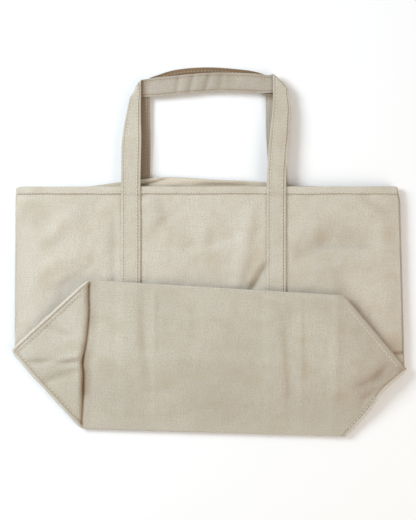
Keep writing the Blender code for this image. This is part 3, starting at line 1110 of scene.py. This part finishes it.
FRONT_LOOP = Loop(
    feet=(-STRAP_X + WEB_SHIFT, STRAP_X + WEB_SHIFT), tops=(-0.1042, 0.1028),
    corners=(0.2185, 0.2305),
    band=((-110, 221.5), (-73.5, 224.3), (13, 231.4), (85, 228.7), (110, 227.5)),
    rounding=(SOFT_CORNER, CRISP_CORNER), top_z=13.4 * MM, past_fold=0.5 * MM)
BACK_LOOP = Loop(
    feet=(-0.0935, 0.0985), tops=(-0.0922, 0.0925), corners=(0.2225, 0.2245),
    band=((-110, 222), (-70, 229.6), (-49, 235.2), (-3.5, 239.6), (38.5, 237.4), (73.5, 233),
          (91, 229.5), (110, 224)),
    rounding=(CRISP_CORNER, CRISP_CORNER), top_z=5.6 * MM, past_fold=21 * MM)


# Soft folds across the front handle's band, in mm
BAND_CREASES = (
    (-38, 248, -43, 212, 3.4, -2.2),
    (-17, 250, -26, 213, 3.8, -2.4),
    (6, 250, -4, 215, 3.6, -2.4),
    (23, 248, 16, 218, 3.4, -1.6),
)


def build_front_loop():
    """The front webbing: sewn up the front, over the hem, round the handle and down again."""
    grid, run = lay_loop(FRONT_LOOP, front_web_z)
    x, y = grid[..., 0], grid[..., 1]
    waves = 0.0009 * field(x, y, 0.019, 93) + 0.0005 * field(x, y, 0.009, 94)
    waves = waves + creases(x, y, BAND_CREASES)
    grid[..., 2] += smooth((y - MOUTH_Y) / 0.04) * waves
    # Painted shadow of the left leg on the band's start; painted shade is kept off the band's lit
    # top rim
    band_shadow = 0.5 * (1 - smooth((x + 0.0925) / 0.013)) * (x > -0.0925) * smooth((y - 0.195) / 0.01)
    lit_rim = 0.4 * np.isin(WEB_ACROSS, WEB_ACROSS[:4]) * (y > 0.21) * (np.abs(x) < 0.085)
    piece = cloth("front_webbing", grid, WEB_SECTION, web_uv(run) + (0.1, 0.0), WEBBING,
                  unit(WEB_SHADE + band_shadow - lit_rim), WEBBING_REVERSE)
    blend_handle(piece)
    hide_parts("front_strap_left", "front_strap_right", "front_handle")
    for end, face, sewn_with in (("", 1, THREAD), ("_inside", -1, SHADED_THREAD)):
        sewing = stitches("front_webbing_stitching" + end, loop_rows(grid, face), sewn_with)
        blend_handle(sewing)


def loop_rows(grid, face):
    """Rows on one face: two down the handle, and two more where the outer face is sewn down."""
    rows = []
    for place, pitch in SEWN_ROWS:
        line, up = row_on(grid, WEB_SECTION, WEB_ACROSS, place, face)
        if face < 0:
            line = line - up * 0.3 * MM
        sewn = line[:, 1] < MOUTH_Y - 0.001
        first = np.arange(len(sewn)) < len(sewn) // 2
        groups = [sewn & first, sewn & ~first] if face > 0 else []
        if (place, pitch) in OWN_ROWS:
            groups.append(~sewn)
        rows += [((line[group], up[group]), pitch) for group in groups]
    return rows


def blend_handle(piece):
    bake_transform(piece)


def back_loop_shade(x, y):
    """Painted shade where the front handle shades the back one: brown on the left leg, little on
    the right, and stripes on the band, which is turned over and so shows its inner side."""
    from_top = WEB_ACROSS - WEB_ACROSS[0]
    stripes = (0.03 + 0.42 * smooth((from_top - 1.5 * MM) / (0.8 * MM))
               - 0.3 * bell(from_top - 4.1 * MM, 0.5 * MM)
               + 0.38 * smooth((from_top - 4.6 * MM) / (0.9 * MM)))
    left = 0.68 - 0.28 * smooth((x + 0.094) / 0.016)
    leg = np.where(x < 0, left, 0.6 * bell(y - 0.2125, 0.005)) + 0.6 * WEB_SHADE
    on_band = smooth((y - 0.2205) / 0.004) * smooth((0.092 - np.abs(x)) / 0.006)
    outer = lerp(WEB_SHADE, leg, smooth((y - MOUTH_Y + 0.004) / 0.008) * (1 - on_band))
    inner = lerp(WEB_SHADE, stripes, on_band)
    return unit(np.stack([outer, inner]))


def build_back_loop():
    grid, run = lay_loop(BACK_LOOP, back_web_z)
    piece = cloth("back_webbing", grid, WEB_SECTION, web_uv(run) + (0.4, 0.0), SHADED_BACK_WEBBING,
                  back_loop_shade(grid[..., 0], grid[..., 1]))
    blend_handle(piece)
    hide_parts("back_handle")
    rows = []
    for place, pitch in OWN_ROWS:
        for face in (1, -1):
            line, up = row_on(grid, WEB_SECTION, WEB_ACROSS, place, face)
            shown = np.flatnonzero(line[:, 1] > MOUTH_Y) if face > 0 else np.arange(len(line))
            line = line - up * 0.2 * MM
            rows.append(((line[shown], up[shown]), pitch))
    sewing = stitches("back_webbing_stitching", rows, SHADED_THREAD)
    blend_handle(sewing)


def build_back_strap(side):
    """The back webbing from its upper part, over the fold line, to the base's bottom edge."""
    word = word_of(side)
    last = float(hexagon(np.array(0.36 * side), np.array(2.0))[1]) + 0.006
    ys = spaced(last, sewn_from(BACK_LOOP, side), WEB_STEP)
    y, c = crossed(ys, WEB_ACROSS)
    z = 0 * y + max(BACK_MID - CANVAS_HALF - WEB_HALF, LOWEST_WEB)
    grid = joined(BACK_LOOP.feet[side > 0] + c, y, z)
    piece = cloth("back_strap_cloth_" + word, grid, WEB_SECTION, web_uv(y), SHADED_BACK_WEBBING,
                  WEB_SHADE)
    bend_at_fold(piece)
    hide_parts("back_strap_" + word, "back_strap_end_" + word)
    rows = [(row_on(grid, WEB_SECTION, WEB_ACROSS, place, -1), pitch)
            for place, pitch in SEWN_ROWS]
    sewing = stitches("back_strap_stitching_" + word, rows, SHADED_THREAD)
    bend_at_fold(sewing)


def build_front_strap_end(side):
    """The front webbing's last stretch, sewn to the lower front under the folded base."""
    word = word_of(side)
    foot = FRONT_LOOP.feet[side > 0]
    v, c = crossed(spaced(1.0, 0.06, 0.024), WEB_ACROSS)
    left, right = rim_xs(v)
    u = 2 * (foot + c - left) / (right - left) - 1
    x, y = hexagon(u, v)
    grid = joined(x, y, under_z(u, v) - CANVAS_HALF - WEB_HALF)[:, ::-1]
    piece = cloth("front_strap_end_cloth_" + word, grid, WEB_SECTION, web_uv(y), WEBBING,
                  WEB_SHADE)
    put(piece, "base_fold", "strap", "front_strap_end_" + word)


# ---- floor, light, camera

VIEW_MIDDLE = (0.0007, -0.0162)
VIEW_TALL = 0.728
CAMERA_HEIGHT = 1.8
SENSOR = 36
FLOOR_HALF = 4.0
FLOOR_Z = -0.4 * MM
FLOOR_WHITE = (0.96, 0.96, 0.96, 1)


def build_floor():
    corners = np.array([(-1, -1, 0), (1, -1, 0), (1, 1, 0), (-1, 1, 0)]) * FLOOR_HALF
    material, _, shader = new_material("floor_white", 0.9, 0.1)
    shader.inputs["Base Color"].default_value = FLOOR_WHITE
    floor = new_piece("floor", corners + (0, 0, FLOOR_Z), [(0, 1, 2, 3)], material)


def area_light(name, place, size, power, colour):
    data = bpy.data.lights.new(name, "AREA")
    data.shape = "SQUARE"
    data.size = size
    data.energy = power
    data.color = colour
    lamp = new_object(name, data)
    lamp.location = place
    lamp.rotation_euler = (-Vector(place)).to_track_quat("-Z", "Y").to_euler()


def build_light():
    world = bpy.data.worlds.new("studio")
    world.use_nodes = True
    background = world.node_tree.nodes["Background"]
    background.inputs["Color"].default_value = (1.0, 0.99, 0.98, 1)
    background.inputs["Strength"].default_value = 0.46
    bpy.context.scene.world = world
    area_light("key", (-1.32, 0.68, 1.08), 0.8, 30.0, (0.83, 0.92, 1.0))
    area_light("fill", (1.5, -0.9, 1.4), 1.6, 20, (1.0, 0.87, 0.73))


def build_camera():
    data = bpy.data.cameras.new("camera")
    data.sensor_fit = "VERTICAL"
    data.sensor_height = SENSOR
    data.lens = SENSOR * CAMERA_HEIGHT / VIEW_TALL
    camera = new_object("camera", data)
    camera.location = (*VIEW_MIDDLE, CAMERA_HEIGHT)
    bpy.context.scene.camera = camera
    bpy.context.scene.view_settings.view_transform = "Standard"


# ---- everything together


def build_all():
    front = build_front_panel()
    back = build_back_panel()
    front_hem, back_hem = build_hems()
    for side in (-1, 1):
        build_side_seam(side)
    base = build_base()
    seams = [build_corner_seam(side, half) for half in (0, 1) for side in (-1, 1)]
    base_sewing = build_base_stitching()
    turn = build_front_turn()
    build_front_loop()
    build_back_loop()
    for side in (-1, 1):
        build_back_strap(side)
        build_front_strap_end(side)


build_floor()
build_light()
build_camera()
build_all()
